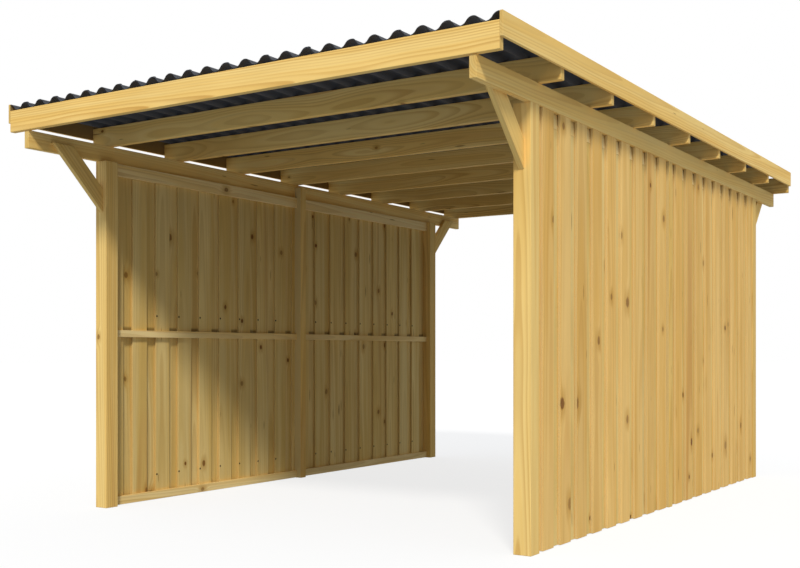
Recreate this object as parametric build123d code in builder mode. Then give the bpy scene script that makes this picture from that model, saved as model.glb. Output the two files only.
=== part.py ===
from build123d import *
import math
import os

# A timber carport with a level roof: two clad side walls, open front and rear.
# X runs across the bay, Y from front to rear, Z up. The origin is on the ground, in the middle.

# Post frame
frame_width = 3052
frame_length = 4000
clear_height = 2190
post_side = 96
middle_post_depth = 64
middle_post_top_gap = 26
arris = 3

# How far a cut runs out past the wood it is made in
overrun = 10

# Roof overhangs past the outer faces of the posts
side_overhang = 136
end_overhang = 550

# Purlins, one along the top of each wall, flush with the outer faces of the posts
purlin_thickness = 36
purlin_height = 106
purlin_setback = 9

# Braces from the corner posts out to the purlin ends
brace_width = 106
brace_thickness = 30
brace_drop = 325
brace_lap = 55
brace_angle = 45

# Rafters across the purlins
rafter_count = 9
rafter_thickness = 36
rafter_height = 128

# Verge boards that close the rafter ends
verge_thickness = 16
verge_height = 112
verge_lap = 73

# Corrugated roof sheets, laid between the verge boards with their edges lapped
sheet_count = 3
waves_per_sheet = 9
lapped_waves = 1
sheet_thickness = 3
wave_height = 35
sheet_side_clearance = 2
lap_clearance = 0.3

# Wall rails between the posts
rail_thickness = 22
bottom_rail_foot = 12
bottom_rail_height = 45
middle_rail_foot = 1080
middle_rail_height = 45
top_rail_height = 78

# Wall boards, set in two layers so that each covers the gaps of the other
board_thickness = 16
board_width = 126
board_gap = 81
board_foot = 3
board_arris = 2
narrowest_board = 30

# What is cut off the first inner board of each bay
left_front_cut = 25
left_rear_cut = 10
right_front_cut = 60
right_rear_cut = 28

# Places that follow from the sizes above
roof_width = frame_width + 2 * side_overhang
roof_length = frame_length + 2 * end_overhang
purlin_top = clear_height + purlin_height
middle_post_top = purlin_top - middle_post_top_gap
rafter_top = purlin_top + rafter_height
outer_x = frame_width / 2
post_x = outer_x - post_side / 2
post_y = (frame_length - post_side) / 2
purlin_x = outer_x - purlin_thickness / 2
brace_x = outer_x - purlin_thickness - brace_thickness / 2
rail_x = outer_x - purlin_thickness - rail_thickness / 2
inner_board_x = outer_x - purlin_thickness + board_thickness / 2
outer_board_x = inner_board_x + board_thickness
wall_length = frame_length - 2 * post_side
bay_length = (wall_length - middle_post_depth) / 2
bay_y = (middle_post_depth + bay_length) / 2
wall_end = wall_length / 2
bay_end = middle_post_depth / 2
board_pitch = board_width + board_gap

SIDES = {"left": -1, "right": 1}
ENDS = {"front": -1, "rear": 1}


def corner_post(side, end):
    """A square post that carries the purlin on its top."""
    with BuildPart() as post:
        with BuildSketch():
            with Locations((side * post_x, end * post_y)):
                Rectangle(post_side, post_side)
        extrude(amount=clear_height)
        chamfer(post.edges().filter_by(Axis.Z), arris)
    return post.part


def middle_post(side):
    """A narrower post between the two bays of a wall, notched at the top for the purlin."""
    with BuildPart() as post:
        with BuildSketch():
            with Locations((side * post_x, 0)):
                Rectangle(post_side, middle_post_depth)
        extrude(amount=middle_post_top)
        chamfer(post.edges().filter_by(Axis.Z), arris)
        with BuildSketch(Plane.XY.offset(clear_height)):
            with Locations((side * (purlin_x + overrun / 2), 0)):
                Rectangle(purlin_thickness + overrun, middle_post_depth + 2 * overrun)
        extrude(amount=purlin_height + overrun, mode=Mode.SUBTRACT)
    return post.part


def purlin(side):
    """The long beam over a wall, standing out past the corner posts at both ends."""
    with BuildPart() as beam:
        with BuildSketch(Plane.XY.offset(clear_height)):
            with Locations((side * purlin_x, 0)):
                Rectangle(purlin_thickness, roof_length - 2 * purlin_setback)
        extrude(amount=purlin_height)
        chamfer(beam.edges().filter_by(Axis.Y), arris)
    return beam.part


def brace(side, end):
    """A slanting strut, cut plumb on the post's face and lapped on the purlin's inner face."""
    face_y = end * frame_length / 2
    foot = clear_height - brace_drop
    top = clear_height + brace_lap
    slope = math.tan(math.radians(brace_angle))
    plumb_cut = brace_width / math.cos(math.radians(brace_angle))
    lower_reach = (top - foot) / slope
    upper_reach = lower_reach - plumb_cut / slope
    with BuildPart() as strut:
        with BuildSketch(Plane.YZ.offset(side * brace_x)):
            with BuildLine():
                Polyline(
                    (face_y, foot),
                    (face_y + end * lower_reach, top),
                    (face_y + end * upper_reach, top),
                    (face_y, foot + plumb_cut),
                    close=True,
                )
            make_face()
        extrude(amount=brace_thickness / 2, both=True)
        slant = Axis((0, 0, 0), (0, end, slope))
        chamfer(strut.edges().filter_by(slant), arris)
    return strut.part


def rafter(y):
    """A cross beam on the purlins, from verge board to verge board."""
    with BuildPart() as beam:
        with BuildSketch(Plane.XY.offset(purlin_top)):
            with Locations((0, y)):
                Rectangle(roof_width - 2 * verge_thickness, rafter_thickness)
        extrude(amount=rafter_height)
        chamfer(beam.edges().filter_by(Axis.X), arris)
    return beam.part


def verge_board(side):
    """The edge board along one side of the roof, standing up past the sheets' troughs."""
    with BuildPart() as board:
        with BuildSketch(Plane.XY.offset(rafter_top - verge_lap)):
            with Locations((side * (roof_width - verge_thickness) / 2, 0)):
                Rectangle(verge_thickness, roof_length)
        extrude(amount=verge_height)
        chamfer(board.edges().filter_by(Axis.Y), board_arris)
    return board.part


def wall_rails(side, foot, height):
    """One height of rails: a straight length in each of the wall's two bays."""
    with BuildPart() as rails:
        with BuildSketch(Plane.XY.offset(foot)):
            with Locations((side * rail_x, -bay_y), (side * rail_x, bay_y)):
                Rectangle(rail_thickness, bay_length)
        extrude(amount=height)
        chamfer(rails.edges().filter_by(Axis.Y), board_arris)
    return rails.part


def board_spans(first, low, high):
    """Front and rear edge of each board in a bay from low to high, the end ones cut to fit."""
    spans = []
    front = first
    while front < high - narrowest_board:
        spans.append((max(front, low), min(front + board_width, high)))
        front += board_pitch
    return spans


def wall_boards(side, x, top, spans):
    """One layer of upright boards between the posts, up to the height top."""
    with BuildPart() as boards:
        for front, rear in spans:
            with BuildSketch(Plane.XY.offset(board_foot)):
                with Locations((side * x, (front + rear) / 2)):
                    Rectangle(board_thickness, rear - front)
            extrude(amount=top - board_foot)
        chamfer(boards.edges().filter_by(Axis.Z), board_arris)
    return boards.part


def wave_arcs(left, pitch, low):
    """A run of tangent arcs from crest to crest, with its troughs at the height low."""
    radius = ((pitch / 4) ** 2 + (wave_height / 2) ** 2) / wave_height
    half_turn = math.degrees(math.asin(pitch / 4 / radius))
    crest_centre = low + wave_height - radius
    trough_centre = low + radius
    for wave in range(waves_per_sheet):
        crest = left + wave * pitch
        CenterArc((crest, crest_centre), radius, 90, -half_turn)
        CenterArc((crest + pitch / 2, trough_centre), radius, 270 - half_turn, 2 * half_turn)
        CenterArc((crest + pitch, crest_centre), radius, 90 + half_turn, -half_turn)


def roof_sheet(left, pitch, lift):
    """A corrugated sheet, its waves running from the front of the roof to the rear."""
    low = rafter_top + lift
    right = left + waves_per_sheet * pitch
    crest = low + wave_height
    with BuildPart() as sheet:
        with BuildSketch(Plane.XZ.offset(roof_length / 2)):
            with BuildLine():
                wave_arcs(left, pitch, low)
                Line((right, crest), (right, crest + sheet_thickness))
                wave_arcs(left, pitch, low + sheet_thickness)
                Line((left, crest + sheet_thickness), (left, crest))
            make_face()
        extrude(amount=-roof_length)
    return sheet.part


def save(part, name):
    """Label a finished piece and write it as its own file."""
    part.label = name
    export_step(part, f"parts/{name}.step")


os.makedirs("parts", exist_ok=True)

# Posts and braces
for side_name, side in SIDES.items():
    for end_name, end in ENDS.items():
        save(corner_post(side, end), f"{end_name}_{side_name}_post")
        save(brace(side, end), f"{end_name}_{side_name}_brace")
    save(middle_post(side), f"middle_{side_name}_post")
    save(purlin(side), f"{side_name}_purlin")

# Walls: both layers of boards are set out bay by bay, the outer one half a pitch behind the inner
board_cuts = {"left": (left_front_cut, left_rear_cut), "right": (right_front_cut, right_rear_cut)}
for side_name, side in SIDES.items():
    save(wall_rails(side, bottom_rail_foot, bottom_rail_height), f"{side_name}_bottom_rails")
    save(wall_rails(side, middle_rail_foot, middle_rail_height), f"{side_name}_middle_rails")
    save(wall_rails(side, clear_height - top_rail_height, top_rail_height), f"{side_name}_top_rails")
    inner_spans = []
    outer_spans = []
    for bay_low, cut in zip((-wall_end, bay_end), board_cuts[side_name]):
        bay_high = bay_low + bay_length
        inner_spans += board_spans(bay_low - cut, bay_low, bay_high)
        outer_spans += board_spans(bay_low - cut + board_pitch / 2, bay_low, bay_high)
    inner_top = clear_height - top_rail_height
    save(wall_boards(side, inner_board_x, inner_top, inner_spans), f"{side_name}_inner_boards")
    save(wall_boards(side, outer_board_x, clear_height, outer_spans), f"{side_name}_outer_boards")

# Roof
rafter_spacing = (roof_length - rafter_thickness) / (rafter_count - 1)
for number in range(rafter_count):
    rafter_y = (rafter_thickness - roof_length) / 2 + number * rafter_spacing
    save(rafter(rafter_y), f"rafter_{number + 1}")
for side_name, side in SIDES.items():
    save(verge_board(side), f"{side_name}_verge_board")

sheets_left = verge_thickness + sheet_side_clearance - roof_width / 2
wave_count = sheet_count * waves_per_sheet - (sheet_count - 1) * lapped_waves
wave_pitch = -2 * sheets_left / wave_count
for number in range(sheet_count):
    sheet_left = sheets_left + number * (waves_per_sheet - lapped_waves) * wave_pitch
    sheet_lift = number % 2 * (sheet_thickness + lap_clearance)
    save(roof_sheet(sheet_left, wave_pitch, sheet_lift), f"roof_sheet_{number + 1}")
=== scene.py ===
# %% [markdown]
# # A pine carport with a corrugated roof
# This lesson dresses a timber carport: two boarded walls, open ends, a level roof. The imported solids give
# every size and place. Blender adds what a saw, a plane and a tree give the real one: eased edges, year
# rings, knots, and the matt roofing.

import math
import random

import bmesh
import bpy
from mathutils import Color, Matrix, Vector


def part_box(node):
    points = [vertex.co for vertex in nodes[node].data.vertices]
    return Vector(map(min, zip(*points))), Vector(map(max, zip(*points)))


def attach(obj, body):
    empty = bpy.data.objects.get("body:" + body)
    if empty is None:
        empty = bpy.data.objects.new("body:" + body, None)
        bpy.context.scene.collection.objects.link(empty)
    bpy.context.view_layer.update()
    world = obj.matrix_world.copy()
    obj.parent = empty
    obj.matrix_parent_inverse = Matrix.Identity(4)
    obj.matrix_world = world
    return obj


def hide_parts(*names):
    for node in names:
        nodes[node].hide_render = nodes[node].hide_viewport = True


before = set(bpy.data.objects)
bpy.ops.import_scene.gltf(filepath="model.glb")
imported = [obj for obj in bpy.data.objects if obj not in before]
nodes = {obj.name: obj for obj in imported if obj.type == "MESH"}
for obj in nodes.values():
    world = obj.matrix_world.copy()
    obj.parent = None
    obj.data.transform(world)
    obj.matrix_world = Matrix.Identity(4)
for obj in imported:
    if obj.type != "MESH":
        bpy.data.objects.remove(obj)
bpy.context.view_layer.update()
scene = bpy.context.scene

# %% [markdown]
# ## The camera
# The viewer stands off the front right corner and looks level into the bay, with upright posts upright in
# the picture. A tilted camera would make them lean, so the camera stays level and the lens is shifted up
# instead, as on an architect's view camera. The focal length is in pixels of an 800 pixel wide picture.

# %% Camera
PICTURE_WIDTH = 800
FOCAL_PIXELS = 1085.4
HORIZON_BELOW_MIDDLE = 67.8
SENSOR = 36.0
EYE = Vector((3.844, -6.716, 0.985))
TURN = 0.5769

camera_data = bpy.data.cameras.new("viewer")
camera_data.sensor_width = SENSOR
camera_data.lens = FOCAL_PIXELS / PICTURE_WIDTH * SENSOR
camera_data.shift_y = HORIZON_BELOW_MIDDLE / PICTURE_WIDTH
camera = bpy.data.objects.new("viewer", camera_data)
camera.location = EYE
camera.rotation_euler = (math.radians(90), 0, TURN)
scene.collection.objects.link(camera)
scene.camera = camera
scene.view_settings.view_transform = "Standard"
print("lens", round(camera_data.lens, 2), "shift", round(camera_data.shift_y, 4))

# %% [markdown]
# ## Sums on sockets
# A finish is a small program made of nodes. Linking dozens of Math nodes by hand hides the sum that they
# work out, so a socket is wrapped in a class whose operators add the nodes. Then `1 - mask` in Python is a
# Subtract node in the tree.

# %% A socket that understands sums
class Wire:
    """One output in a node tree. Sums on it add Math nodes."""

    def __init__(self, finish, socket):
        self.finish = finish
        self.socket = socket

    def maths(self, operation, *values):
        settings = {"operation": operation}
        return self.finish.add("ShaderNodeMath", settings, dict(enumerate(values)))

    def __add__(self, other):
        return self.maths("ADD", self, other)

    def __radd__(self, other):
        return self.maths("ADD", other, self)

    def __sub__(self, other):
        return self.maths("SUBTRACT", self, other)

    def __rsub__(self, other):
        return self.maths("SUBTRACT", other, self)

    def __mul__(self, other):
        return self.maths("MULTIPLY", self, other)

    def __rmul__(self, other):
        return self.maths("MULTIPLY", other, self)

    def __truediv__(self, other):
        return self.maths("DIVIDE", self, other)

    def __pow__(self, other):
        return self.maths("POWER", self, other)


print("sums ready")

# %% [markdown]
# ## A node tree that is written line by line
# The other half of the tool is the tree itself. `add` makes a node of any kind: first its settings, since
# these can change which sockets it has, then the values or links of its sockets. The short methods below it
# name the few nodes that every finish here uses. Colours go through Mix nodes, because a sum would turn
# them grey.

# %% A node tree
class Finish:
    """A node tree that is written one node at a time."""

    def __init__(self, tree):
        self.tree = tree
        tree.nodes.clear()

    def add(self, kind, settings, sockets, output=0):
        """Add a node: first its settings, then the values or links of its sockets."""
        node = self.tree.nodes.new(kind)
        for key, value in settings.items():
            setattr(node, key, value)
        for key, value in sockets.items():
            if isinstance(value, Wire):
                self.tree.links.new(value.socket, node.inputs[key])
            else:
                node.inputs[key].default_value = value
        return Wire(self, node.outputs[output]) if node.outputs else None

    def vector(self, x, y, z):
        return self.add("ShaderNodeCombineXYZ", {}, {"X": x, "Y": y, "Z": z})

    def split(self, vector):
        """The three numbers of a vector."""
        return [self.add("ShaderNodeSeparateXYZ", {}, {0: vector}, axis) for axis in range(3)]

    def attribute(self, name, output):
        return self.add("ShaderNodeAttribute", {"attribute_name": name}, {}, output)

    def noise(self, vector, detail=2.0, rough=0.5):
        sockets = {"Vector": vector, "Scale": 1.0, "Detail": detail, "Roughness": rough}
        return self.add("ShaderNodeTexNoise", {"noise_dimensions": "3D"}, sockets)

    def smooth(self, value, low, high, start=0.0, end=1.0):
        """A soft step from start to end as value goes from low to high."""
        settings = {"interpolation_type": "SMOOTHSTEP"}
        sockets = {"Value": value, 1: low, 2: high, 3: start, 4: end}
        return self.add("ShaderNodeMapRange", settings, sockets)

    def mix(self, share, first, second):
        """One colour turning into another."""
        settings = {"data_type": "RGBA"}
        return self.add("ShaderNodeMix", settings, {0: share, 6: first, 7: second}, 2)

    def shade(self, colour, factor):
        """A colour made darker or lighter by a varying factor."""
        settings = {"data_type": "RGBA", "blend_type": "MULTIPLY"}
        grey = self.add("ShaderNodeCombineColor", {}, {0: factor, 1: factor, 2: factor})
        return self.add("ShaderNodeMix", settings, {0: 1.0, 6: colour, 7: grey}, 2)


def paint(code):
    """A colour written as on screen, turned into the light values that shaders use."""
    red, green, blue = (int(code[at:at + 2], 16) / 255 for at in (1, 3, 5))
    return (*Color((red, green, blue)).from_srgb_to_scene_linear(), 1.0)


def new_material(name):
    material = bpy.data.materials.new(name)
    material.use_nodes = True
    return material, Finish(material.node_tree)


print("white as light:", paint("#FFFFFF"))

# %% [markdown]
# ## Light and floor
# The carport stands outdoors in clear light: a sun from the front right and an even sky. One sun lamp with
# a wide disc gives soft shadow edges, and a pale blue world fills the shade. The eye meets a nearly white
# floor that still takes the shadow. Light that bounces off the floor meets a greyer one instead, with a weak
# glow that stands for the sunlit ground all round. So the white floor shows, but lights nothing.

# %% Sun, sky and floor
SUN_FROM = Vector((0.418, -0.633, 0.652))
SUN_STRENGTH = 2.20
SUN_COLOUR = (1.0, 0.97, 0.90)
SUN_DISC = math.radians(9.0)
SKY_STRENGTH = 0.56
SKY_COLOUR = (0.90, 0.96, 1.05, 1.0)
FLOOR_RADIUS = 90.0
FLOOR_SIDES = 96
FLOOR_BOUNCE = (0.27, 0.30, 0.34, 1.0)
FLOOR_FILL = 0.14
FLOOR_COLOUR = (0.80, 0.91, 1.08, 1.0)
FLOOR_SEEN = (0.24, 0.24, 0.24, 1.0)
FLOOR_GLOW = 0.78

sun_data = bpy.data.lights.new("sun", "SUN")
sun_data.energy = SUN_STRENGTH
sun_data.color = SUN_COLOUR
sun_data.angle = SUN_DISC
sun = bpy.data.objects.new("sun", sun_data)
sun.rotation_euler = SUN_FROM.to_track_quat("Z", "Y").to_euler()
scene.collection.objects.link(sun)

world = bpy.data.worlds.new("sky")
world.use_nodes = True
scene.world = world
sky = Finish(world.node_tree)


def seen_directly(finish):
    """One for what the eye meets, in the open or by a mirror or glass, and zero for other light."""
    rays = [finish.add("ShaderNodeLightPath", {}, {}, name)
            for name in ("Is Camera Ray", "Is Glossy Ray", "Is Transmission Ray")]
    return rays[0].maths("MAXIMUM", rays[0], rays[1].maths("MAXIMUM", rays[1], rays[2]))


white = (1.0, 1.0, 1.0, 1.0)
lit = sky.add("ShaderNodeBackground", {}, {"Color": SKY_COLOUR, "Strength": SKY_STRENGTH})
shown = sky.add("ShaderNodeBackground", {}, {"Color": white, "Strength": 1.0})
both = sky.add("ShaderNodeMixShader", {}, {0: seen_directly(sky), 1: lit, 2: shown})
sky.add("ShaderNodeOutputWorld", {}, {"Surface": both})

floor_material, ground = new_material("pale_floor")
bounce = ground.add("ShaderNodeBsdfDiffuse", {}, {"Color": FLOOR_BOUNCE})
fill = ground.add("ShaderNodeEmission", {}, {"Color": FLOOR_COLOUR, "Strength": FLOOR_FILL})
bounce = ground.add("ShaderNodeAddShader", {}, {0: bounce, 1: fill})
seen = ground.add("ShaderNodeBsdfDiffuse", {}, {"Color": FLOOR_SEEN})
glow = ground.add("ShaderNodeEmission", {}, {"Color": white, "Strength": FLOOR_GLOW})
pale = ground.add("ShaderNodeAddShader", {}, {0: seen, 1: glow})
floor_mix = ground.add("ShaderNodeMixShader", {}, {0: seen_directly(ground), 1: bounce, 2: pale})
ground.add("ShaderNodeOutputMaterial", {}, {"Surface": floor_mix})

floor_mesh = bpy.data.meshes.new("floor")
shape = bmesh.new()
bmesh.ops.create_circle(shape, cap_ends=True, segments=FLOOR_SIDES, radius=FLOOR_RADIUS)
shape.to_mesh(floor_mesh)
shape.free()
floor = bpy.data.objects.new("floor", floor_mesh)
floor.data.materials.append(floor_material)
scene.collection.objects.link(floor)
print("sun from", tuple(round(c, 3) for c in SUN_FROM))

# %% [markdown]
# ## Pine: a place in the trunk
# Every stick is cut out of a tree, so the finish is a solid one: it works out where a point lay in the
# trunk. Distance from the pith gives the year rings. They show as arches on a wide face, as straight lines
# on a narrow one and as arcs on a cut end, with no seam at the arris. A flat picture of wood couldn't do
# that. The pith wanders a little as the tree grows, which bends the grain into arches.

# %% A place in the trunk
TRUNK_TAPER = 0.012
SWAY = 0.08
SWAY_PER_METRE = 0.8
LEAN = 0.055
LEAN_PER_METRE = 1.1


def trunk(wood, tone, wander):
    """Where a point lies in its tree: along it, across it and deep, then its distance and angle."""
    along, across, depth = wood.split(wood.attribute("grain", "Vector"))
    sway = wood.noise(wood.vector(along * SWAY_PER_METRE, tone * 17.0, 0.5), 1.0)
    lean = wood.noise(wood.vector(along * LEAN_PER_METRE, tone * 23.0, 7.5), 1.0)
    across = across + (sway - 0.5) * (SWAY * wander)
    depth = depth + (lean - 0.5) * (LEAN * wander)
    radius = (across * across + depth * depth) ** 0.5
    angle = radius.maths("ARCTAN2", depth, across)
    return along, across, depth, radius, angle


print("trunk taper:", TRUNK_TAPER)

# %% [markdown]
# ## Pine: knots and resin pockets
# Knots are branches. They run outward from the pith, so each sits at one height and one angle: a point on
# a map of height against angle. Voronoi cells scatter chance places on that map, and only some of them hold
# a knot. The year rings swell around it. Resin pockets are thin brown slits, scattered in the same way.

# %% Knots and resin pockets
SCATTER = 0.85
KNOT_STEP = 0.55
KNOT_SECTOR = 1.05
KNOT_SMALL = 0.007
KNOT_RANGE = 0.012
KNOT_STRETCH = 1.5
KNOT_RAGGED = 0.5
RAGGED_ALONG = 60.0
RAGGED_ACROSS = 90.0
KNOT_SWELL = 0.9
SWELL_STRETCH = 0.2
POCKET_STEP = 0.70
POCKET_SECTOR = 0.40
POCKET_SHARE = 0.10
POCKET_SHIFT = 31.0
POCKET_HALF_WIDTH = 0.0036
POCKET_STRETCH = 12.0


def scattered(wood, along, angle, step, sector, share):
    """Chance places on a trunk: how far a point is from the nearest, its luck, and if it is there."""
    height = along / step
    turn = angle / sector
    spread = {"voronoi_dimensions": "2D", "feature": "F1"}
    sockets = {"Vector": wood.vector(height, turn, 0.0), "Scale": 1.0, "Randomness": SCATTER}
    place = wood.split(wood.add("ShaderNodeTexVoronoi", spread, sockets, "Position"))
    luck = wood.split(wood.add("ShaderNodeTexVoronoi", spread, sockets, "Color"))
    there = luck[1].maths("LESS_THAN", luck[1], share)
    return (height - place[0]) * step, (turn - place[1]) * sector, luck, there


def branches(wood, spot, share, girth):
    """Knots: the dark heart, the halo, how dark it is by chance, and how far the rings swell."""
    along, across, depth, radius, angle = spot
    up, aside, luck, there = scattered(wood, along, angle, KNOT_STEP, KNOT_SECTOR, share)
    up = up / KNOT_STRETCH
    aside = aside * radius
    size = (KNOT_SMALL + luck[0] * KNOT_RANGE) * girth
    rim = wood.vector(along * RAGGED_ALONG, across * RAGGED_ACROSS, depth * RAGGED_ACROSS)
    ragged = wood.noise(rim, 2.0)
    away = (up * up + aside * aside) ** 0.5 / size + (ragged - 0.5) * KNOT_RAGGED
    knot = wood.smooth(away, 1.1, 0.6) * there
    halo = wood.smooth(away, 3.4, 0.7) * there
    swell = wood.smooth((up * up * SWELL_STRETCH + aside * aside) ** 0.5 / size, 3.0, 0.2) * there
    return knot, halo, luck[2], swell * swell * size * KNOT_SWELL


def pockets(wood, spot):
    """Resin pockets: thin slits along the grain."""
    along, across, depth, radius, angle = spot
    moved = along + POCKET_SHIFT
    rise, swing, luck, there = scattered(wood, moved, angle, POCKET_STEP, POCKET_SECTOR, POCKET_SHARE)
    rise = rise / POCKET_STRETCH
    swing = swing * radius
    away = (rise * rise + swing * swing) ** 0.5 / ((luck[0] + 0.5) * POCKET_HALF_WIDTH)
    return wood.smooth(away, 1.1, 0.4) * there


print("knots up to", KNOT_SMALL + KNOT_RANGE, "m, pockets up to", 1.5 * POCKET_HALF_WIDTH, "m")

# %% [markdown]
# ## Pine: year rings
# In spring a tree grows pale soft wood, and later in the year a thin dark line that stops sharply. So a ring
# is a ramp with a steep end, repeated with the distance from the pith. Some years are stronger than others.
# Wider streaks and ruddy bands follow the rings too, which gives a board its slow change of tone.

# %% Year rings
RING_SPREAD = 1.15
LATE_START = 0.25
LATE_DARK = 0.90
LATE_STOP = 0.91


def year_rings(wood, bent, along, tone, ring, lines):
    """Dark late wood, broad streaks and ruddy bands, from the distance to the pith."""
    loose = wood.noise(wood.vector(bent * (0.3 / ring), along * 0.5, tone * 9.0), 2.0)
    year = (bent + loose * (RING_SPREAD * ring)) / ring
    part = year.maths("FRACT", year)
    edge = wood.smooth(part, LATE_START, LATE_DARK) * wood.smooth(part, 1.0, LATE_STOP)
    strong = wood.noise(wood.vector(bent * (0.23 / ring), along * 0.4, tone * 31.0), 1.0)
    grain = edge * wood.smooth(strong, 0.3, 0.7, 0.3, 1.0) * lines
    streak = wood.noise(wood.vector(bent * (0.44 / ring), along * 0.45, tone * 5.0), 3.0, 0.6)
    streak = wood.smooth(streak, 0.34, 0.66)
    ruddy = wood.noise(wood.vector(bent * (0.29 / ring), along * 0.3, tone * 13.0), 1.0)
    ruddy = wood.smooth(ruddy, 0.62, 0.76)
    return grain, streak, ruddy


print("late wood from", LATE_START, "to", LATE_DARK, "of each ring")

# %% [markdown]
# ## Pine: the whole finish
# The colours are laid over each other from the widest change to the smallest: streaks, rings, halos, resin,
# knots. Three marks on the mesh say the rest: the tone of the stick, where it is a cut end, and where a face
# takes the sawn edge colour, which is partly a rough sawn edge and partly painted shade. Just above the
# middle rail, the boards behind the gaps are darkened, a painted shade under the rail. The wood is nearly
# matt, because a gloss would lay a grey veil over the knots.

# %% Pine finish
KNOT_BROWN = "#74420A"
HALO_BROWN = "#BC8836"
POCKET_BROWN = "#8A571C"
RUDDY_SHARE = 0.4
HALO_SHARE = 0.45
POCKET_DARK = 0.7
KNOT_PALE = 0.42
KNOT_DARKER = 0.53
SAWN_SHADE_SHARE = 0.9
CUT_SHADE = 0.17
FIBRE_ALONG = 7.0
FIBRE_ACROSS = 480.0
CLOUD_ALONG = 2.2
CLOUD_ACROSS = 13.0
WOOD_ROUGH = 0.60
WOOD_GLOSS = 0.07
WOOD_RELIEF = 0.35
WOOD_DEPTH = 0.0006
RAIL_SHADE = 0.52
RAIL_SHADE_REACH = 0.030
RAIL_SHADE_FULL = 0.4
RAIL_SHADE_BELOW = 0.02
RAIL_SHADE_SKIN = 0.001
inner_face = abs(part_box("left_outer_boards")[1][0])
rail_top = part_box("left_middle_rails")[1][2]


def rail_shade_mask(wood):
    """One on a board's inner face just above the middle rail, and zero elsewhere: where the painted shade
    goes.
    """
    x, y, z = wood.split(wood.add("ShaderNodeTexCoord", {}, {}, "Object"))
    shade_band = wood.smooth(z, rail_top + RAIL_SHADE_REACH, rail_top + RAIL_SHADE_FULL * RAIL_SHADE_REACH)
    shade_band = shade_band * wood.smooth(z, rail_top - RAIL_SHADE_BELOW, rail_top - RAIL_SHADE_BELOW / 2)
    return shade_band * x.maths("LESS_THAN", x.maths("ABSOLUTE", x), inner_face + RAIL_SHADE_SKIN)


def pine(name, colours, ring, lines, wander, knots, girth=1.0, rail_shade=0.0):
    """A solid pine finish. The mesh gives each point its place in the trunk and three marks."""
    sap, gold, late, red, edge_shade_colour = (paint(code) for code in colours)
    material, wood = new_material(name)
    tone, cut, sawn_shade = wood.split(wood.attribute("marks", "Vector"))
    spot = trunk(wood, tone, wander)
    along, across, depth, radius, angle = spot
    knot, halo, luck, swell = branches(wood, spot, knots, girth)
    slit = pockets(wood, spot)
    bent = radius + along * TRUNK_TAPER + swell
    grain, streak, ruddy = year_rings(wood, bent, along, tone, ring, lines)
    fibre = wood.noise(wood.vector(along * FIBRE_ALONG, across * FIBRE_ACROSS, depth * FIBRE_ACROSS), 2.0)
    cloud = wood.noise(wood.vector(along * CLOUD_ALONG, across * CLOUD_ACROSS, depth * CLOUD_ACROSS), 2.0)

    colour = wood.mix(streak, sap, gold)
    colour = wood.mix(ruddy * RUDDY_SHARE, colour, red)
    colour = wood.mix(grain, colour, late)
    colour = wood.mix(halo * HALO_SHARE, colour, paint(HALO_BROWN))
    colour = wood.mix(slit * POCKET_DARK, colour, paint(POCKET_BROWN))
    colour = wood.mix(knot * (KNOT_PALE + luck * KNOT_DARKER), colour, paint(KNOT_BROWN))
    # The sawn edge colour: partly a rough sawn edge, partly painted shade that evens out the light on edges
    # and backs.
    colour = wood.mix(sawn_shade * SAWN_SHADE_SHARE, colour, edge_shade_colour)
    light = (0.95 + tone * 0.09) * (0.95 + fibre * 0.10) * (0.92 + cloud * 0.16)
    light = light * (1.0 - cut * CUT_SHADE)
    # A painted shade: just above the middle rail, the boards' inner faces are darkened as if the rail shaded
    # them.
    if rail_shade:
        light = light * (1.0 - rail_shade_mask(wood) * rail_shade)
    colour = wood.shade(colour, light)

    rough = WOOD_ROUGH + fibre * 0.16 + grain * 0.1 - knot * 0.15
    relief = grain * 0.8 + fibre * 0.35 - knot * 0.4 - slit * 0.5
    bump = {"Height": relief, "Strength": WOOD_RELIEF, "Distance": WOOD_DEPTH}
    normal = wood.add("ShaderNodeBump", {}, bump)
    surface = {"Base Color": colour, "Roughness": rough, "Normal": normal, "Specular IOR Level": WOOD_GLOSS}
    shader = wood.add("ShaderNodeBsdfPrincipled", {}, surface)
    wood.add("ShaderNodeOutputMaterial", {}, {"Surface": shader})
    return material


print("damp above", round(rail_top, 3))

# %% [markdown]
# ## Pine: the finishes in use
# One tree differs from the next. Each finish names five colours: sapwood, golden streaks, late wood, ruddy
# bands and the sawn edge, whose colour is partly painted shade. The frame is planed and bright. Timbers in
# the shade, the inner boards and the left wall's outer boards get darker, duller copies of these colours, as
# painted shade, and the boards of the sunlit wall a warmer copy, as painted sunlight. Ring width and knots
# differ as well: the roof's edges are of clear wood, the walls of knotty boards.

# %% Pine finishes
# The shaded colours, and those for the boards inside the walls, are darker, cooler copies: painted shade. The
# colours for the sunlit wall's outer boards are a warmer copy: painted sunlight. The verge colours' dark sawn
# edge paints shade on the verge boards' backs.
PLANED = ("#FFDA89", "#F8CB73", "#C68D3B", "#D6974C", "#FFDA89")
SHADED = ("#F2CC7C", "#E9BD66", "#BA8335", "#C98C46", "#D2BA80")
VERGE = ("#FFDA89", "#F8CB73", "#C68D3B", "#D6974C", "#86704F")
RAIL = ("#FFE2A0", "#F5CF82", "#C0904A", "#CE9858", "#D0AF6C")
INSIDE_SHADE = ("#EED089", "#E2BD6D", "#B6843A", "#C48D4B", "#CDAD6C")
SUNLIT = ("#F5CA7C", "#E9B762", "#BC8135", "#CB8B45", "#D9BE83")
frame_pine = pine("frame_pine", PLANED, ring=0.012, lines=0.42, wander=0.35, knots=0.30)
shade_pine = pine("shade_pine", SHADED, ring=0.012, lines=0.40, wander=0.35, knots=0.05)
rafter_pine = pine("rafter_pine", PLANED, ring=0.008, lines=0.52, wander=1.2, knots=0.16)
clear_pine = pine("clear_pine", PLANED, ring=0.011, lines=0.66, wander=0.6, knots=0.0)
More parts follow.
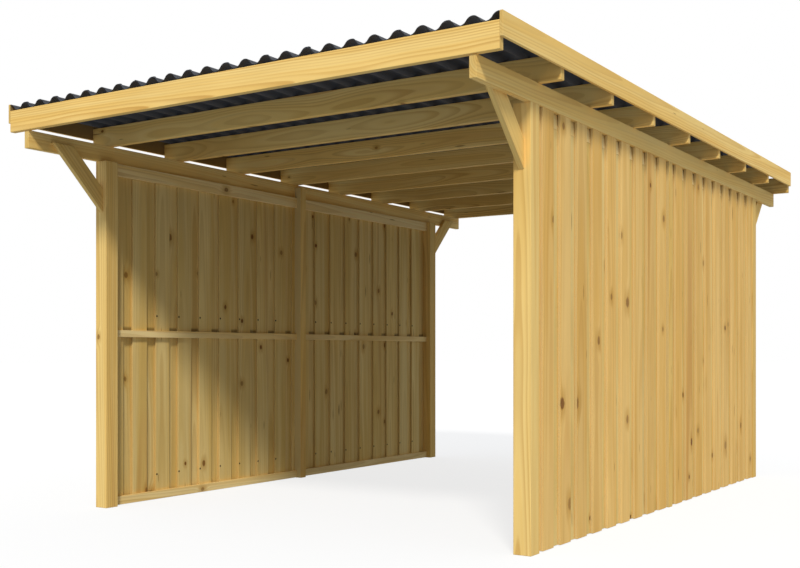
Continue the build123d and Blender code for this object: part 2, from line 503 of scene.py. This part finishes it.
verge_pine = pine("verge_pine", VERGE, ring=0.012, lines=0.42, wander=0.35, knots=0.0)
rail_pine = pine("rail_pine", RAIL, ring=0.012, lines=0.40, wander=0.35, knots=0.03)
inner_pine = pine("inner_pine", INSIDE_SHADE, ring=0.015, lines=0.28, wander=0.5, knots=0.15)
# Both walls' outer boards carry the painted shade just above the middle rail.
gap_pine = pine("gap_pine", INSIDE_SHADE, ring=0.015, lines=0.28, wander=0.5, knots=0.15, rail_shade=RAIL_SHADE)
outer_pine = pine("outer_pine", SUNLIT, ring=0.020, lines=0.24, wander=0.5, knots=0.20, girth=1.5,
                  rail_shade=RAIL_SHADE)
finishes = (frame_pine, shade_pine, rafter_pine, clear_pine, verge_pine, rail_pine, inner_pine, gap_pine,
            outer_pine)
print("pine finishes:", [finish.name for finish in finishes])

# %% [markdown]
# ## Sticks of wood
# A planed stick has small rounded arrises and clean cut ends. Each one is skinned from rings: the outline
# of the saw cut, repeated along the length, a little smaller at both ends. While the points are made, the
# script already knows how far along and across the stick each one is, so it stores that with the point as
# an attribute. A random place in the trunk makes every stick different, with the same result at each run.

# %% Stick builder
TOUCH = 1e-6
ARRIS_STEPS = 3
PITH_SIDEWAYS = 0.055
PITH_NEAR = 0.036
PITH_FAR = 0.090


def outline(width, depth, ease):
    """A sawn outline with eased corners, as pairs of across and out."""
    points = []
    for number, (side, face) in enumerate(((1, 1), (-1, 1), (-1, -1), (1, -1))):
        centre = (side * (width / 2 - ease), face * (depth / 2 - ease))
        for step in range(ARRIS_STEPS + 1):
            turn = math.radians(90) * (number + step / ARRIS_STEPS)
            points.append((centre[0] + ease * math.cos(turn), centre[1] + ease * math.sin(turn)))
    return points


class Timbers:
    """Sticks of wood in one mesh, whose points know their place in the tree.

    Sawn shade is the mark of the two narrow edges, whose sawn edge colour is partly painted shade. Back is
    the way, 1 or -1, that a rough back face looks; that face takes the same colour, as painted shade.
    """

    def __init__(self, name, sawn_shade=0.0, back=0):
        self.name = name
        self.sawn_shade = sawn_shade
        self.back = back
        self.work = bmesh.new()
        self.grain = self.work.verts.layers.float_vector.new("grain")
        self.marks = self.work.verts.layers.float_vector.new("marks")
        self.chance = random.Random(name)

    def skin(self, rings, place, thickness):
        """Close a run of rings, whose points are (along, across, out), into one stick."""
        shift = self.chance.uniform(0, 60)
        pith_across = self.chance.uniform(-PITH_SIDEWAYS, PITH_SIDEWAYS)
        pith_depth = thickness / 2 + self.chance.uniform(PITH_NEAR, PITH_FAR)
        facing = self.chance.choice((-1, 1))
        tone = self.chance.random()
        half = max(across for along, across, out in rings[1]) - TOUCH
        rows = []
        for number, ring in enumerate(rings):
            row = []
            for along, across, out in ring:
                point = self.work.verts.new(place(along, across, out))
                point[self.grain] = (along + shift, across - pith_across, facing * out + pith_depth)
                cut = 1.0 if number in (0, len(rings) - 1) else 0.0
                sawn_shade = self.sawn_shade if abs(across) > half else 0.0
                if self.back * out > thickness / 2 - TOUCH:
                    sawn_shade = 1.0
                point[self.marks] = (tone, cut, sawn_shade)
                row.append(point)
            rows.append(row)
        for lower, upper in zip(rows, rows[1:]):
            for at in range(len(lower)):
                ahead = (at + 1) % len(lower)
                self.work.faces.new((lower[at], lower[ahead], upper[ahead], upper[at]))
        self.work.faces.new(rows[0])
        self.work.faces.new(rows[-1])

    def bar(self, low, high, axis, ease, bow=0.0, runs=1):
        """A straight stick that fills a box, with its grain along one axis."""
        low, high = Vector(low), Vector(high)
        size = high - low
        others = [other for other in range(3) if other != axis]
        thin, wide = sorted(others, key=lambda other: size[other])
        middle = (low + high) / 2

        def place(along, across, out):
            point = middle.copy()
            point[axis] = low[axis] + along
            point[wide] += across + bow * math.sin(math.pi * along / size[axis])
            point[thin] += out
            return point

        full = outline(size[wide], size[thin], ease)
        small = outline(size[wide] - ease, size[thin] - ease, ease / 2)
        rings = [[(0.0, across, out) for across, out in small]]
        for run in range(runs + 1):
            along = ease / 2 + (size[axis] - ease) * run / runs
            rings.append([(along, across, out) for across, out in full])
        rings.append([(size[axis], across, out) for across, out in small])
        self.skin(rings, place, size[thin])

    def piece(self, slot, material, *replaced):
        """Turn the sticks into one object of the carport."""
        bmesh.ops.remove_doubles(self.work, verts=self.work.verts[:], dist=TOUCH)
        bmesh.ops.dissolve_degenerate(self.work, edges=self.work.edges[:], dist=TOUCH)
        bmesh.ops.recalc_face_normals(self.work, faces=self.work.faces[:])
        mesh = bpy.data.meshes.new(self.name)
        self.work.to_mesh(mesh)
        self.work.free()
        return put(self.name, mesh, slot, material, *replaced)


print("stick outline points:", len(outline(0.1, 0.1, 0.003)))

# %% [markdown]
# ## Putting a piece in its place
# Each dressed piece rides on the carport's one body and takes its material, and the solids that it stands
# for, if there are any, are hidden. A solid's size is read from the frame. Where one node holds several
# sticks, such as the wall boards, its points are sorted into groups that hang together, and each group gives
# a box.

# %% Placing pieces and reading solids
WELD = 1e-5


def put(name, mesh, slot, material, *replaced):
    """Place a finished mesh on the carport, in the stead of the nodes that it stands for."""
    mesh.materials.append(material)
    piece = bpy.data.objects.new(name, mesh)
    scene.collection.objects.link(piece)
    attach(piece, "root")
    if replaced:
        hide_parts(*replaced)
    return piece


def solids(node):
    """The box of each separate solid in a node, from front to rear."""
    work = bmesh.new()
    work.from_mesh(nodes[node].data)
    bmesh.ops.remove_doubles(work, verts=work.verts[:], dist=WELD)
    unseen = set(work.verts)
    boxes = []
    while unseen:
        group = [unseen.pop()]
        for point in group:
            for line in point.link_edges:
                other = line.other_vert(point)
                if other in unseen:
                    unseen.remove(other)
                    group.append(other)
        low = Vector(min(point.co[axis] for point in group) for axis in range(3))
        high = Vector(max(point.co[axis] for point in group) for axis in range(3))
        boxes.append((low, high))
    work.free()
    return sorted(boxes, key=lambda box: box[0].y)


print("boards in one layer:", len(solids("left_inner_boards")))

# %% [markdown]
# ## Middle posts and braces
# A middle post loses its outer part at the top, where the purlin sits on the shoulder. It is skinned in one
# go: at the shoulder the ring changes from the full outline to that of the cheek which runs on upward. A
# brace is a stick whose ends are cut askew, plumb at the post and level at the top, so the two ends of each
# of its lines lie at different places along the grain. Its slope and width are read from the solid.

# %% Middle posts and braces
ARRIS = 0.003
AT_FACE = 1e-4
SIDES = {"left": -1, "right": 1}
ENDS = {"front": -1, "rear": 1}


def notched_post(name, purlin):
    """A post with a shoulder. Across is Y and out is X; the cheek keeps the inner part at the top."""
    low, high = (Vector(corner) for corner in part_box(name))
    purlin_low, purlin_high = (Vector(corner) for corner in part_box(purlin))
    side = 1 if low.x > 0 else -1
    middle = (low + high) / 2
    width = high.y - low.y
    depth = high.x - low.x
    shoulder = purlin_low.z - low.z
    cheek_depth = depth - (purlin_high.x - purlin_low.x)
    shift = -side * (depth - cheek_depth) / 2

    def place(along, across, out):
        return Vector((middle.x + out, middle.y + across, low.z + along))

    full = outline(width, depth, ARRIS)
    cheek = [(across, out + shift) for across, out in outline(width, cheek_depth, ARRIS)]
    foot = outline(width - ARRIS, depth - ARRIS, ARRIS / 2)
    small = outline(width - ARRIS, cheek_depth - ARRIS, ARRIS / 2)
    head = [(across, out + shift) for across, out in small]
    top = high.z - low.z
    stages = [(0.0, foot), (ARRIS / 2, full), (shoulder, full), (shoulder, cheek),
              (top - ARRIS / 2, cheek), (top, head)]
    # The post takes the darker copy of the colours, and its front and rear faces the sawn edge colour: both
    # painted shade.
    timber = Timbers("pine_" + name, sawn_shade=1.0)
    timber.skin([[(along, *pair) for pair in ring] for along, ring in stages], place, depth)
    return timber.piece("timber", shade_pine, name)


def brace(name):
    """A slanting strut. Across lies in the wall's plane and out is X."""
    low, high = (Vector(corner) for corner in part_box(name))
    end = 1 if low.y > 0 else -1
    face = low.y if end > 0 else high.y
    at_face = [point.co.z for point in nodes[name].data.vertices if abs(point.co.y - face) < AT_FACE]
    plumb = max(at_face) - min(at_face)
    slope = math.atan2(high.z - low.z, high.y - low.y)
    width = plumb * math.cos(slope)
    start = Vector(((low.x + high.x) / 2, face, low.z + plumb / 2))
    rise = Vector((0.0, end * math.cos(slope), math.sin(slope)))
    lift = Vector((0.0, -end * math.sin(slope), math.cos(slope)))

    def place(along, across, out):
        return start + rise * along + lift * across + Vector((out, 0.0, 0.0))

    def ends(across):
        top = (high.z - start.z - across * math.cos(slope)) / math.sin(slope)
        return across * math.tan(slope), top

    full = outline(width, high.x - low.x, ARRIS)
    small = outline(width - ARRIS, high.x - low.x - ARRIS, ARRIS / 2)
    eased = ARRIS / 2
    rings = [[(ends(across)[0], across, out) for across, out in small],
             [(ends(across)[0] + eased, across, out) for across, out in full],
             [(ends(across)[1] - eased, across, out) for across, out in full],
             [(ends(across)[1], across, out) for across, out in small]]
    timber = Timbers("pine_" + name)
    timber.skin(rings, place, high.x - low.x)
    # Braces take the darker copy of the colours, as painted shade.
    return timber.piece("timber", shade_pine, name)


for side in SIDES:
    notched_post(f"middle_{side}_post", f"{side}_purlin")
    for end in ENDS:
        brace(f"{end}_{side}_brace")
print("middle posts and braces made")

# %% [markdown]
# ## Corner posts, purlins, rafters, verge boards and rails
# These are straight planed sticks, so each one fills the box of its solid. The rails are two lengths each,
# which are two sticks in one piece, and the bottom ones reach down to the boards' feet. The grain runs along
# the longest side, as any sawyer would cut it. A verge board is planed on its face only, and its rough back
# is painted dark, as painted shade.

# %% Straight timbers
EDGE = 0.002
RAFTERS = 9
levels = ("bottom", "middle", "top")
board_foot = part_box("left_inner_boards")[0][2]
straight = [(f"front_{side}_post", 2, ARRIS, frame_pine, 0) for side in SIDES]
# Rear posts take the darker copy of the colours, as painted shade.
straight += [(f"rear_{side}_post", 2, ARRIS, shade_pine, 0) for side in SIDES]
straight += [(f"{side}_purlin", 1, ARRIS, verge_pine, 0) for side in SIDES]
straight += [(f"rafter_{number}", 0, ARRIS, clear_pine, 0) for number in (1, RAFTERS)]
straight += [(f"rafter_{number}", 0, ARRIS, rafter_pine, 0) for number in range(2, RAFTERS)]
# A verge board's back takes the dark sawn edge colour of its finish, as painted shade.
straight += [(f"{side}_verge_board", 1, EDGE, verge_pine, -way) for side, way in SIDES.items()]
straight += [(f"{side}_{level}_rails", 1, EDGE, rail_pine, 0) for side in SIDES for level in levels]
for name, axis, ease, finish, back in straight:
    timber = Timbers("pine_" + name, back=back)
    for low, high in solids(name):
        if "bottom" in name:
            low.z = board_foot
        timber.bar(low, high, axis, ease)
    timber.piece("timber", finish, name)
print("straight timbers:", len(straight))

# %% [markdown]
# ## Wall boards
# The walls are rough weather boards in two layers, nailed up one after another by hand. No board is quite
# straight and no foot quite level with the next, so each gets a slight bow and a foot a little higher. The
# change is a millimetre or two: enough to take away the look of a machine's copy. The edges are left rough
# from the saw, and their colour holds painted shade too. The outer boards of the sunlit right wall take a
# warmer copy of the colours, as painted sunlight, and the other boards a darker one, as painted shade.

# %% Wall boards
BOARD_BOW = 0.0012
FOOT_PLAY = 0.002
BOARD_RUNS = 6
wall_finishes = {"left_outer_boards": gap_pine, "right_outer_boards": outer_pine}
board_count = 0
for side in SIDES:
    for layer in ("inner", "outer"):
        name = f"{side}_{layer}_boards"
        finish = wall_finishes.get(name, inner_pine)
        timber = Timbers("pine_" + name, sawn_shade=1.0)
        for low, high in solids(name):
            low.z += timber.chance.uniform(0, FOOT_PLAY)
            timber.bar(low, high, 2, EDGE, timber.chance.uniform(-BOARD_BOW, BOARD_BOW), BOARD_RUNS)
            board_count += 1
        timber.piece("cladding", finish, name)
print("wall boards:", board_count)

# %% [markdown]
# ## Closing strips
# The inner boards stop under the top rails, which leaves a slot below each purlin. A bevelled strip in the
# slot keeps the wind out. It shows in the gaps between the outer boards, as a face that leans back into the
# shade of the purlin, and its colour darkens toward the top as painted shade. Its outline is four points,
# thick at the foot and thin at the top, pulled along a bay.

# %% Closing strips
STRIP_THIN = 0.011
STRIP_PLAY = 0.001
STRIP_EASE = 0.002
STRIP_LOW_SHARE = 0.4
for side, way in SIDES.items():
    board_low, board_high = (Vector(corner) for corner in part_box(f"{side}_inner_boards"))
    full = board_high.x - board_low.x
    back = board_low.x if way > 0 else board_high.x
    foot = board_high.z + STRIP_PLAY
    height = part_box(f"{side}_purlin")[0][2] - STRIP_PLAY - foot
    # Across is measured from below the middle, so that only the strip's top is marked: from there the sawn
    # edge colour fades down the strip, a painted shade under the purlin.
    below = STRIP_LOW_SHARE * height
    above = height - below
    profile = [(-below, 0.0), (above, 0.0), (above, STRIP_THIN), (-below, full)]
    timber = Timbers(f"pine_{side}_closing_strip", sawn_shade=1.0)
    for low, high in solids(f"{side}_top_rails"):
        length = high.y - low.y

        def place(along, across, out):
            return Vector((back + way * out, low.y + along, foot + below + across))

        stages = (0.0, STRIP_EASE, length - STRIP_EASE, length)
        timber.skin([[(along, *pair) for pair in profile] for along in stages], place, full)
    timber.piece("timber", rail_pine)
print("closing strips: thick", round(full, 4), "thin", STRIP_THIN)

# %% [markdown]
# ## Roofing finish
# The roof is of dark fibre pressed into sheets. Up close it is speckled, with a faint mark of the press along
# the waves, and from afar it is a little cloudy. Three sizes of noise give these, and the finest two also
# raise the surface, so that the sheet stays matt in low light.

# %% Roofing finish
SHEET_DARK = "#36383C"
SHEET_PALE = "#484A50"
SHEET_SPECK = "#5C5F65"
SPECK_SCALE = 260.0
SPECK_SHARE = 0.5
PRESS_ACROSS = 46.0
PRESS_ALONG = 14.0
HAZE_ACROSS = 1.7
HAZE_ALONG = 0.9
SHEET_ROUGH = 0.62
SHEET_GLOSS = 0.2
SHEET_RELIEF = 0.4
SHEET_DEPTH = 0.001


def roofing(name):
    """Dark pressed fibre: matt, speckled and a little cloudy."""
    material, sheet = new_material(name)
    spot = sheet.add("ShaderNodeTexCoord", {}, {}, "Object")
    x, y, z = sheet.split(spot)
    speck = sheet.noise(sheet.vector(x * SPECK_SCALE, y * SPECK_SCALE, z * SPECK_SCALE), 3.0, 0.6)
    press = sheet.noise(sheet.vector(x * PRESS_ACROSS, y * PRESS_ALONG, z * PRESS_ACROSS), 3.0, 0.55)
    haze = sheet.noise(sheet.vector(x * HAZE_ACROSS, y * HAZE_ALONG, z * HAZE_ACROSS), 3.0, 0.5)
    colour = sheet.mix(haze, paint(SHEET_DARK), paint(SHEET_PALE))
    colour = sheet.mix(sheet.smooth(speck, 0.56, 0.74) * SPECK_SHARE, colour, paint(SHEET_SPECK))
    colour = sheet.shade(colour, 0.86 + press * 0.28)
    rough = SHEET_ROUGH + speck * 0.2 - press * 0.08
    relief = speck * 0.6 + press * 0.8
    bump = {"Height": relief, "Strength": SHEET_RELIEF, "Distance": SHEET_DEPTH}
    normal = sheet.add("ShaderNodeBump", {}, bump)
    surface = {"Base Color": colour, "Roughness": rough, "Normal": normal, "Specular IOR Level": SHEET_GLOSS}
    shader = sheet.add("ShaderNodeBsdfPrincipled", {}, surface)
    sheet.add("ShaderNodeOutputMaterial", {}, {"Surface": shader})
    return material


dark_fibre = roofing("dark_fibre")
print("roofing finish:", dark_fibre.name)

# %% [markdown]
# ## Corrugated sheets
# A wave is two arcs that meet smoothly, so its height at any place comes from a circle. The sheet is drawn as
# that line, above and below, and pulled from front to rear. Shading is smooth over the waves, and sharp
# where the surface turns round the sheet's thin edge.

# %% Roof sheets
SHEETS = 3
WAVES = 9
SHEET_THICKNESS = 0.003
STEPS_PER_WAVE = 28
SHEET_RUNS = 8
SOFT_TURN = math.radians(35)


def wave_height(across, pitch, height):
    """The height of the wave above its trough, with a crest at zero."""
    radius = ((pitch / 4) ** 2 + (height / 2) ** 2) / height
    from_crest = abs((across + pitch / 2) % pitch - pitch / 2)
    if from_crest <= pitch / 4:
        return height - radius + math.sqrt(radius ** 2 - from_crest ** 2)
    return radius - math.sqrt(radius ** 2 - (pitch / 2 - from_crest) ** 2)


def roof_sheet(name):
    """One sheet: the upper and the lower wave, joined round the four edges."""
    low, high = (Vector(corner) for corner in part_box(name))
    pitch = (high.x - low.x) / WAVES
    height = high.z - low.z - SHEET_THICKNESS
    work = bmesh.new()
    count = WAVES * STEPS_PER_WAVE
    rows = []
    for run in range(SHEET_RUNS + 1):
        y = low.y + (high.y - low.y) * run / SHEET_RUNS
        under = []
        over = []
        for step in range(count + 1):
            across = pitch * step / STEPS_PER_WAVE
            z = low.z + wave_height(across, pitch, height)
            under.append(work.verts.new((low.x + across, y, z)))
            over.append(work.verts.new((low.x + across, y, z + SHEET_THICKNESS)))
        rows.append(under + over[::-1])
    for front, rear in zip(rows, rows[1:]):
        for at in range(len(front)):
            ahead = (at + 1) % len(front)
            work.faces.new((front[at], front[ahead], rear[ahead], rear[at]))
    for row in (rows[0], rows[-1]):
        for at in range(count):
            work.faces.new((row[at], row[at + 1], row[-2 - at], row[-1 - at]))
    bmesh.ops.recalc_face_normals(work, faces=work.faces[:])
    mesh = bpy.data.meshes.new("fibre_" + name)
    work.to_mesh(mesh)
    work.free()
    mesh.shade_smooth()
    mesh.set_sharp_from_angle(angle=SOFT_TURN)
    return put("fibre_" + name, mesh, "roofing", dark_fibre, name)


for number in range(SHEETS):
    roof_sheet(f"roof_sheet_{number + 1}")
print("roof sheets:", SHEETS, "with", WAVES, "waves each")

# %% [markdown]
# ## Round heads
# A nail's head and a screw's cap are both low domes, so one function makes them: a few rings of points, each
# smaller and higher than the last. The foot is sunk a little into the wood or the sheet, so no gap shows.
# All heads of a kind are one mesh.

# %% Round heads
HEAD_SIDES = 12
HEAD_GLOSS = 0.15
PATCH_SCALE = 23.0
DOME = ((1.0, 0.0), (1.0, 0.4), (0.80, 0.8), (0.42, 1.0))


def plain(name, low_code, high_code, rough):
    """A dull finish that varies a little from head to head."""
    material, dull = new_material(name)
    spot = dull.add("ShaderNodeTexCoord", {}, {}, "Object")
    near = dull.add("ShaderNodeVectorMath", {"operation": "SCALE"}, {0: spot, "Scale": PATCH_SCALE})
    patch = dull.noise(near)
    colour = dull.mix(patch, paint(low_code), paint(high_code))
    surface = {"Base Color": colour, "Roughness": rough, "Specular IOR Level": HEAD_GLOSS}
    shader = dull.add("ShaderNodeBsdfPrincipled", {}, surface)
    dull.add("ShaderNodeOutputMaterial", {}, {"Surface": shader})
    return material


def heads(name, places, out, radius, height, sunk, slot, material):
    """Low round heads in one mesh, all looking the same way out."""
    out = Vector(out)
    side = out.orthogonal().normalized()
    upward = out.cross(side)
    work = bmesh.new()
    for place in places:
        rings = []
        for share, lift in DOME:
            foot = Vector(place) + out * (lift * (height + sunk) - sunk)
            rim = []
            for step in range(HEAD_SIDES):
                turn = math.tau * step / HEAD_SIDES
                outward = side * math.cos(turn) + upward * math.sin(turn)
                rim.append(work.verts.new(foot + outward * radius * share))
            rings.append(rim)
        for lower, upper in zip(rings, rings[1:]):
            for at in range(HEAD_SIDES):
                ahead = (at + 1) % HEAD_SIDES
                work.faces.new((lower[at], lower[ahead], upper[ahead], upper[at]))
        work.faces.new(rings[0])
        work.faces.new(rings[-1])
    bmesh.ops.recalc_face_normals(work, faces=work.faces[:])
    mesh = bpy.data.meshes.new(name)
    work.to_mesh(mesh)
    work.free()
    mesh.shade_smooth()
    mesh.set_sharp_from_angle(angle=SOFT_TURN)
    return put(name, mesh, slot, material)


print("points on each head:", HEAD_SIDES * len(DOME))

# %% [markdown]
# ## Nails and screws
# Nails hold the two layers of boards together where they lap, and their dark heads show inside the walls,
# near the front edge of each whole board. The first two boards by the front post have none. The sheets are
# screwed down on every second crest, over each rafter, under low round caps.

# %% Nails and screws
dark_nail = plain("dark_nail", "#3A2512", "#4A3018", 0.8)
dark_cap = plain("dark_cap", "#2A2D32", "#363A41", 0.45)
LAP_NAILS = (0.165, 1.224)
LAP_NAIL_INSET = 0.0085
FIRST_NAILED = 2
NAIL_RADIUS = 0.008
NAIL_HEIGHT = 0.001
NAIL_SUNK = 0.002
CAP_CRESTS = {1: (1, 3, 5, 7), 2: (1, 3, 5, 7, 9), 3: (3, 5, 7)}
CAP_RADIUS = 0.011
CAP_HEIGHT = 0.0045
CAP_SUNK = 0.003
head_count = 0
for side, way in SIDES.items():
    inside = []
    boards = solids(f"{side}_inner_boards")
    widest = max(high.y - low.y for low, high in boards)
    for low, high in boards[FIRST_NAILED:]:
        if high.y - low.y > widest - EDGE:
            face = high.x if way < 0 else low.x
            inside += [(face, low.y + LAP_NAIL_INSET, z) for z in LAP_NAILS]
    heads(f"lap_nails_{side}", inside, (-way, 0, 0), NAIL_RADIUS, NAIL_HEIGHT, NAIL_SUNK,
          "cladding", dark_nail)
    head_count += len(inside)

caps = []
rafter_boxes = [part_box(f"rafter_{number}") for number in range(1, RAFTERS + 1)]
rafter_lines = [sum(corner[1] for corner in box) / 2 for box in rafter_boxes]
for number, crests in CAP_CRESTS.items():
    low, high = (Vector(corner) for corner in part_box(f"roof_sheet_{number}"))
    pitch = (high.x - low.x) / WAVES
    caps += [(low.x + crest * pitch, y, high.z) for crest in crests for y in rafter_lines]
heads("roof_caps", caps, (0, 0, 1), CAP_RADIUS, CAP_HEIGHT, CAP_SUNK, "roofing", dark_cap)
print("heads:", head_count, "caps:", len(caps))
